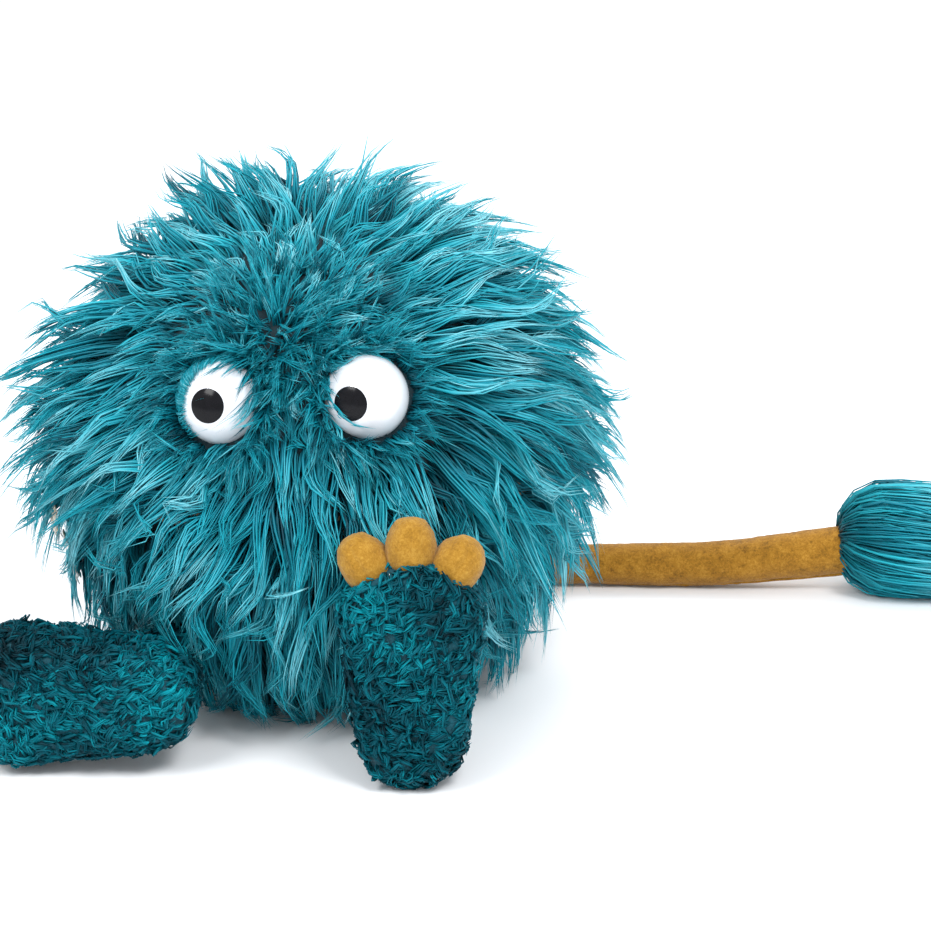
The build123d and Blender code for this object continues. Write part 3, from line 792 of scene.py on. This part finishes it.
def make_leg(side, cover, curl, rng):
    """A floppy tube from hip to ankle, with plush lying down it."""
    hip = Vector(JOINTS[f"{side}_leg_swing"]["pos_m"])
    ankle = Vector(JOINTS[f"{side}_foot_tilt"]["pos_m"])
    leg = begin(f"{side}_leg", bpy.ops.mesh.primitive_uv_sphere_add, segments=32, ring_count=20,
                radius=LEG_RADIUS, location=hip, rotation=(ankle - hip).to_track_quat("Z", "Y").to_euler())
    editing(leg, lambda co: (co - hip).dot(ankle - hip) > 0)
    bpy.ops.transform.translate(value=(ankle - hip) * 0.95)
    bpy.ops.object.mode_set(mode="OBJECT")
    modify(leg, "SUBSURF", levels=1, render_levels=1)
    roughen(leg, f"{side}_leg_folds", 0.01, 0.003)
    finish(leg, cover)
    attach(leg, f"{side}_leg")
    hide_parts(f"{side}_leg_sleeve")
    spots, normals = surface_samples(leg, LEG_TUFTS, rng)
    shade = np.clip(0.35 + rng.normal(0, 0.16, len(spots)), 0, 1)
    lay = combed(spots, (ankle - hip).normalized(), rng)
    leg_plush = curls(f"{side}_leg_plush", spots, normals, lay, rng, curl, shade)
    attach(leg_plush, f"{side}_leg")


def make_toe(side, name, root, felt):
    """A plump felt toe with a stitched pinch down its face and a blunt end."""
    pinch_width, pinch_depth, pinch_end = 0.0012, 0.0011, 0.011
    blunt_from, flattened = 0.0120, 0.0007
    box_middle = middle(f"{side}_{name}")
    outward = box_middle - root
    outward.y = 0
    reach = outward.length
    outward.normalize()
    centre = root + outward * (reach - TOE_SINK)
    centre.y = box_middle.y
    made = begin(f"{side}_{name}_felt", bpy.ops.mesh.primitive_uv_sphere_add, segments=40, ring_count=28,
                 radius=1, location=centre, rotation=(0, math.atan2(outward.x, outward.z), 0), scale=TOE_SIZE)
    across = Vector((outward.z, 0, -outward.x))
    editing(made, lambda co: abs((co - centre).dot(across)) < pinch_width and co.y < centre.y
            and (co - centre).dot(outward) < pinch_end)
    bpy.ops.transform.translate(value=(0, pinch_depth, 0))
    editing(made, lambda co: (co - centre).dot(outward) > blunt_from)
    bpy.ops.transform.resize(value=(1.20, 1.12, 1.20), center_override=centre + outward * blunt_from)
    bpy.ops.transform.translate(value=-outward * flattened)
    bpy.ops.object.mode_set(mode="OBJECT")
    modify(made, "SUBSURF", levels=1, render_levels=1)
    roughen(made, f"{side}_{name}_lumps", 0.007, 0.0012)
    roughen(made, f"{side}_{name}_nap", 0.0012, 0.0004, depth=1)
    finish(made, felt, 80)
    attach(made, f"{side}_foot")
    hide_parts(f"{side}_{name}")


def outer_copy(node_name, new_name, voxel):
    """A copy of a CAD node's outer skin, remeshed evenly so that it can be softened."""
    object_mode()
    made = frame["nodes"][node_name].copy()
    made.data = made.data.copy()
    for key in list(made.keys()):
        del made[key]
    world = made.matrix_world.copy()
    made.parent = None
    made.matrix_world = world
    made.name = made.data.name = new_name
    bpy.context.collection.objects.link(made)
    select_only(made)
    bpy.ops.object.transform_apply(location=True, rotation=True, scale=True)
    editing(made)
    bpy.ops.mesh.remove_doubles(threshold=0.00002)
    bpy.ops.mesh.select_all(action="DESELECT")
    bpy.ops.object.mode_set(mode="OBJECT")
    far = max(made.data.vertices, key=lambda v: v.co.x)
    far.select = True
    bpy.ops.object.mode_set(mode="EDIT")
    bpy.ops.mesh.select_linked()
    bpy.ops.mesh.select_all(action="INVERT")
    bpy.ops.mesh.delete(type="VERT")
    bpy.ops.object.mode_set(mode="OBJECT")
    modify(made, "REMESH", mode="VOXEL", voxel_size=voxel, use_smooth_shade=True)
    modify(made, "SMOOTH", factor=0.5, iterations=4)
    return made


def ridge(name, points, radius, material):
    """A sewn edge: a thin rounded ridge of felt along these points."""
    curve = bpy.data.curves.new(name, "CURVE")
    curve.dimensions = "3D"
    spline = curve.splines.new("NURBS")
    spline.points.add(len(points) - 1)
    for point, place in zip(spline.points, points):
        point.co = (*place, 1)
    spline.order_u = 4
    spline.use_endpoint_u = True
    curve.bevel_depth = radius
    curve.bevel_resolution = 3
    curve.use_fill_caps = True
    made = bpy.data.objects.new(name, curve)
    bpy.context.collection.objects.link(made)
    select_only(made)
    bpy.ops.object.convert(target="MESH")
    made = bpy.context.object
    made.name = made.data.name = name
    roughen(made, name + "_nap", 0.004, 0.0008)
    return finish(made, material, 80)


SEAM_RADIUS = 0.0013
SEAM_STATIONS = (
    # x, the tail's radius there, and the height of its middle line
    (0.100, 0.0101, 0.0145), (0.125, 0.0102, 0.0112), (0.160, 0.0106, 0.0116),
    (0.192, 0.0111, 0.0125), (0.225, 0.0117, 0.0170), (0.258, 0.0122, 0.0215),
)
TUFT_LOCKS, HAIRS_PER_TUFT_LOCK = 400, 8


def make_tail(felt):
    """The felt tail, and the ridge of its seam low on its front."""
    tail = outer_copy("tail_felt", "tail", 0.0016)
    roughen(tail, "tail_lumps", 0.016, 0.0016)
    roughen(tail, "tail_nap", 0.0014, 0.0004, depth=1)
    finish(tail, felt, 80)
    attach(tail, "tail")
    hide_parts("tail_felt")

    centre_y = JOINTS["tuft_swing"]["pos_m"][1]
    seam_up, seam_ahead = -0.90, -0.42
    seam = ridge("tail_seam", [(x, centre_y + radius * seam_ahead, max(z + radius * seam_up, SEAM_RADIUS))
                               for x, radius, z in SEAM_STATIONS], SEAM_RADIUS, felt)
    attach(seam, "tail")


def make_tuft(fur, pile):
    """The brush at the tail's end: a core of pile, and hair that springs out, bulges and hangs."""
    centre_y = JOINTS["tuft_swing"]["pos_m"][1]
    low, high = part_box("tail_tuft")
    middle_z, big = (low.z + high.z) / 2, (high.z - low.z) / 2
    length = high.x - low.x
    centre = Vector(((low.x + high.x) / 2 + 0.002, centre_y, middle_z))
    core = begin("tuft_pile", bpy.ops.mesh.primitive_uv_sphere_add, segments=48, ring_count=32, radius=1,
                 location=centre, rotation=(0, math.pi / 2, 0), scale=(big * 0.72, big * 0.72, length * 0.43))
    roughen(core, "tuft_lumps", 0.008, 0.003)
    finish(core, pile)
    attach(core, "tail_tip")
    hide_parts("tail_tuft")

    rng = np.random.default_rng(21)
    angle = rng.uniform(0, 2 * math.pi, TUFT_LOCKS)
    depth = rng.uniform(0.62, 1.0, TUFT_LOCKS) ** 0.7
    s = np.linspace(0, 1, 10)[None] ** 1.25
    drift = rng.normal(0, 0.30, (TUFT_LOCKS, 1)) * s + 0.45 * s
    shoulder, narrowing, shoulder_rise = 0.30, 0.40, 0.22
    rounding = np.minimum(s / shoulder, 1) * math.pi / 2
    after = np.maximum(s - shoulder, 0) / (1 - shoulder)
    bulge = 0.30 + 0.70 * np.sin(rounding) - narrowing * after ** 2.4
    ragged = rng.uniform(0.84, 1.02, (TUFT_LOCKS, 1))
    rise = shoulder_rise * (1 - np.cos(rounding)) + (1 - shoulder_rise) * after
    x = low.x - 0.003 + rng.uniform(0, 0.008, (TUFT_LOCKS, 1)) * (1 - s) + length * rise * ragged
    r = big * depth[:, None] * bulge
    ripple = np.sin(TURN * (s * rng.uniform(0.5, 1.0, (TUFT_LOCKS, 1)) + rng.random((TUFT_LOCKS, 1))))
    turn = angle[:, None] + drift + 0.10 * ripple
    lines = np.stack([x, centre_y + r * np.cos(turn), middle_z + r * np.sin(turn)], axis=2)
    lines[..., 2] -= 0.006 * s * s
    lines[..., 2] = np.maximum(lines[..., 2], 2 * FLOOR_GAP)
    lock = np.repeat(np.arange(TUFT_LOCKS), HAIRS_PER_TUFT_LOCK)
    hairs = len(lock)
    wide = rng.normal(0, 0.0016, (3, hairs, 1)) * (0.5 + 0.9 * np.sin(math.pi * s[None] * 0.8))
    path = lines[lock] + np.moveaxis(wide, 0, 2)
    path[..., 2] = np.maximum(path[..., 2], FLOOR_GAP)
    widths = np.clip(rng.normal(0.60, 0.13, hairs), 0.3, 1.0)[:, None] * MM * (1.0 - 0.55 * s ** 3)
    tint = np.clip(rng.normal(0.74, 0.20, TUFT_LOCKS)[lock] + rng.normal(0, 0.12, hairs), 0, 0.999)
    flat = unit(np.stack([np.zeros(TUFT_LOCKS), np.cos(angle), np.sin(angle)], axis=1))[lock]
    hair = tubes("tuft_hair", path, widths, np.floor(tint * TINTS), fur, flat=flat)
    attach(hair, "tail_tip")


def cloth_disc(name, height, radius, front, back, thick, material):
    """A half-round of felt that lines one jaw, slightly uneven, its edge rounded."""
    made = begin(name, bpy.ops.mesh.primitive_grid_add, x_subdivisions=60, y_subdivisions=60, size=2 * radius,
                 location=(0, 0, height))
    editing(made, lambda co: math.hypot(co.x, co.y) > radius or co.y < front or co.y > back)
    bpy.ops.mesh.delete(type="VERT")
    bpy.ops.object.mode_set(mode="OBJECT")
    roughen(made, name + "_waves", 0.03, 0.0003)
    modify(made, "SOLIDIFY", thickness=thick, offset=0)
    modify(made, "BEVEL", width=0.0004, segments=2, limit_method="ANGLE", angle_limit=math.radians(60))
    return finish(made, material, 60)


def make_mouth(felt):
    """The two felt linings that meet in the closed mouth, each just inside its CAD lining."""
    inset = 0.001
    for half, body in (("upper", "head"), ("lower", "body")):
        low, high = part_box(f"{half}_mouth_lining")
        radius, thick = (high.x - low.x) / 2 - inset, (high.z - low.z) - 0.0004
        lining = cloth_disc(f"{half}_mouth_felt", (low.z + high.z) / 2, radius, low.y + inset,
                            high.y - inset, thick, felt)
        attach(lining, body)
        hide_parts(f"{half}_mouth_lining")


def make_sleeve(cloth):
    """The cloth sleeve that the hand goes into, and the hem rolled round its mouth."""
    low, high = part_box("hand_sleeve")
    radius = (high.x - low.x) / 2 - 0.001
    centre = (low + high) / 2
    length = high.y - low.y
    sleeve = begin("arm_sleeve", bpy.ops.mesh.primitive_cylinder_add, vertices=72, radius=radius,
                   depth=length, end_fill_type="NOTHING", location=centre, rotation=(math.pi / 2, 0, 0))
    editing(sleeve)
    bpy.ops.mesh.subdivide(number_cuts=3)
    bpy.ops.object.mode_set(mode="OBJECT")
    roughen(sleeve, "sleeve_folds", 0.018, 0.0022, level=0.7)
    modify(sleeve, "SOLIDIFY", thickness=0.0011, offset=0)
    finish(sleeve, cloth, 80)
    hem_low, hem_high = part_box("sleeve_hem")
    hem_wall = (hem_high.x - hem_low.x) / 2 - radius
    hem = begin("rolled_hem", bpy.ops.mesh.primitive_torus_add, major_segments=96, minor_segments=18,
                major_radius=(hem_high.x - hem_low.x) / 2 - hem_wall * 0.56, minor_radius=hem_wall * 0.55,
                location=(hem_low + hem_high) / 2, rotation=(math.pi / 2, 0, 0))
    editing(hem)
    bpy.ops.transform.resize(value=(1, 1.4, 1), center_override=(hem_low + hem_high) / 2)
    bpy.ops.object.mode_set(mode="OBJECT")
    modify(hem, "SUBSURF", levels=1, render_levels=1)
    roughen(hem, "hem_puckers", 0.006, 0.0010)
    finish(hem, cloth, 80)
    for made, node_name in ((sleeve, "hand_sleeve"), (hem, "sleeve_hem")):
        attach(made, "body")
        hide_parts(node_name)


LABELS = {
    # name: slot, then flat width and length
    "woven_label": ("beige_label", 0.0200, 0.0140),
    "care_label": ("white_label", 0.0130, 0.0220),
    "ribbon_end": ("white_label", 0.0050, 0.0240),
}


def make_labels(finishes):
    """Blank sewn-in labels, each a thin curling strip that hangs from its seam."""
    for node_name, (slot, width, length) in LABELS.items():
        centre = middle(node_name)
        out = (centre - BALL).normalized()
        turn = out.to_track_quat("Z", "Y").to_euler()
        made = begin(node_name + "_cloth", bpy.ops.mesh.primitive_grid_add, x_subdivisions=14,
                     y_subdivisions=22, size=1, location=centre, rotation=turn, scale=(width, length, 1))
        down = Vector((0, 0, -1)) - out * Vector((0, 0, -1)).dot(out)
        down.normalize()
        for share, lift in ((0.25, 0.0006), (0.6, 0.0010), (0.85, 0.0012)):
            editing(made, lambda co: (co - centre).dot(down) > length * (share - 0.5))
            bpy.ops.transform.translate(value=out * lift)
        bpy.ops.object.mode_set(mode="OBJECT")
        roughen(made, node_name + "_curl", 0.012, 0.0012)
        modify(made, "SOLIDIFY", thickness=0.0005, offset=0)
        finish(made, finishes[node_name], 80)
        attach(made, "body")
        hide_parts(node_name)


def dress(node_name, material):
    """Gives a CAD node that stays in view this material."""
    made = frame["nodes"][node_name]
    made.data.materials.clear()
    made.data.materials.append(material)


def blend_gusset(made):
    """Bakes a gusset piece's transform into its mesh."""
    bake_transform(made)


def make_fur_parts(fur, pile):
    """The pile shells of head, body and gusset, and the long fur that grows out of them."""
    across_rake = Vector((0, -math.sin(RAKE), math.cos(RAKE)))
    gap = 0.0012
    sleeve_room = 0.0445
    sleeve = middle("sleeve_hem")
    shells = {
        "head": [(FOLD + Vector((0, 0, gap)), (0, 0, 1)), (FOLD + across_rake * gap, across_rake)],
        "body": [(FOLD - Vector((0, 0, gap)), (0, 0, -1))],
    }
    head_pile = undercoat("head_pile", shells["head"], pile)
    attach(head_pile, "head")
    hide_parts("head_fur")
    body_pile = undercoat("body_pile", shells["body"], pile, hole=lambda face: (
        face.center.y > 0 and math.hypot(face.center.x - sleeve.x, face.center.z - sleeve.z) < sleeve_room))
    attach(body_pile, "body")
    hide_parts("body_fur")
    gusset_pile = undercoat("gusset_pile", [(FOLD, (0, 0, 1)), (FOLD, -across_rake)], pile)
    blend_gusset(gusset_pile)
    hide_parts("neck_gusset")
    for body, piece in make_fur(fur):
        if body == 0:
            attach(piece, "head")
        elif body == 2:
            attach(piece, "body")
        else:
            blend_gusset(piece)


def dress_cad_nodes(lining):
    """Finishes for the CAD nodes that have no Blender piece in their place."""
    foam = rough_material("cut_foam", (0.52, 0.50, 0.44), (0.74, 0.72, 0.66), 260, 0.95, bump=0.9)
    board = rough_material("pressed_board", (0.20, 0.13, 0.07), (0.34, 0.24, 0.14), 150, 0.8, bump=0.3)
    stuffing = rough_material("loose_stuffing", (0.70, 0.70, 0.68), (0.86, 0.86, 0.85), 130, 1.0, bump=1.0)
    bean_cloth = woven_material("bean_bag_weave", (0.35, 0.32, 0.27), (0.62, 0.58, 0.50), 300)
    eye_white = rough_material("eye_plastic", (0.66, 0.68, 0.72), (0.72, 0.74, 0.78), 20, 0.10, bump=0.02,
                               distance=0.0002, Coat_Weight=1.0, Coat_Roughness=0.05)
    pupil = rough_material("pupil_plastic", (0.002, 0.002, 0.003), (0.006, 0.006, 0.008), 40, 0.16,
                           bump=0.02, distance=0.0002, Specular_IOR_Level=0.16)
    stem = rough_material("stem_plastic", (0.55, 0.56, 0.58), (0.66, 0.67, 0.69), 60, 0.4, bump=0.1)
    for material, nodes in (
        (foam, ("head_foam", "body_foam")),
        (board, ("upper_mouth_plate", "lower_mouth_plate")),
        (lining, ("mouth_fold_tape", "finger_pocket", "thumb_pocket")),
        (stuffing, ("tail_stuffing", "tuft_core")),
    ):
        for node_name in nodes:
            dress(node_name, material)
    for side in SIDES:
        dress(f"{side}_eye", eye_white)
        dress(f"{side}_pupil", pupil)
        dress(f"{side}_eye_stem", stem)
        dress(f"{side}_eye_washer", stem)
        dress(f"{side}_leg_stuffing", stuffing)
        dress(f"{side}_foot_stuffing", stuffing)
        dress(f"{side}_bean_bag", bean_cloth)


def main():
    set_camera()
    set_floor_and_lights()
    # Each fur colour runs from root to tip, darker at the root as painted shade deep in the coat; deep, rich
    # and pale are its three tints, the deep one partly painted shade and the pale one partly painted
    # highlight.
    fur = pile_material(
        "long_fur",
        deep=[(0.0, (0.0, 0.006, 0.010)), (0.40, (0.0, 0.035, 0.052)), (1.0, (0.0, 0.12, 0.17))],
        rich=[(0.0, (0.0, 0.022, 0.034)), (0.45, (0.0, 0.19, 0.26)), (1.0, (0.012, 0.43, 0.53))],
        pale=[(0.0, (0.0, 0.06, 0.08)), (0.45, (0.015, 0.40, 0.49)), (1.0, (0.36, 0.76, 0.84))],
        roughness=0.45, Specular_IOR_Level=0.2)
    # The plush too is darker at the root, as painted shade.
    curl = pile_material(
        "curly_plush",
        deep=[(0.0, (0.0, 0.005, 0.008)), (1.0, (0.0, 0.022, 0.033))],
        rich=[(0.0, (0.0, 0.030, 0.043)), (1.0, (0.0, 0.14, 0.19))],
        pale=[(0.0, (0.0, 0.13, 0.17)), (1.0, (0.002, 0.38, 0.46))],
        roughness=0.5, Specular_IOR_Level=0.10)
    # The undercoat is near black: painted shade deep between the locks and inside the tuft.
    pile = rough_material("shaded_undercoat", (0.0, 0.005, 0.008), (0.0, 0.022, 0.032), 90, 0.9)
    cover = rough_material("plush_backing", (0.0, 0.010, 0.015), (0.0, 0.10, 0.14), 110, 0.9)
    toe_felt = speckled_felt("golden_felt", (0.20, 0.095, 0.008), (0.32, 0.160, 0.017), (0.43, 0.240, 0.038))
    felt = speckled_felt("mustard_felt", (0.12, 0.055, 0.006), (0.31, 0.142, 0.013), (0.45, 0.225, 0.030))
    mouth_felt = speckled_felt("dark_mouth_felt", (0.010, 0.004, 0.006), (0.03, 0.008, 0.012),
                               (0.06, 0.018, 0.024))
    lining = woven_material("lining_weave", (0.004, 0.05, 0.065), (0.010, 0.10, 0.13), 420)
    beige = woven_material("striped_tape", (0.42, 0.34, 0.24), (0.80, 0.74, 0.64), 350, stripes=90)
    satin = woven_material("satin_tape", (0.66, 0.66, 0.64), (0.90, 0.90, 0.88), 500, Sheen_Weight=0.2)
    ribbon = woven_material("frayed_ribbon", (0.50, 0.46, 0.36), (0.86, 0.82, 0.72), 400)

    make_fur_parts(fur, pile)
    for side in SIDES:
        make_leg_and_foot(side, cover, curl, toe_felt)
    make_tail(felt)
    make_tuft(fur, pile)
    make_mouth(mouth_felt)
    make_sleeve(lining)
    make_labels({"woven_label": beige, "care_label": satin, "ribbon_end": ribbon})
    dress_cad_nodes(lining)


main()
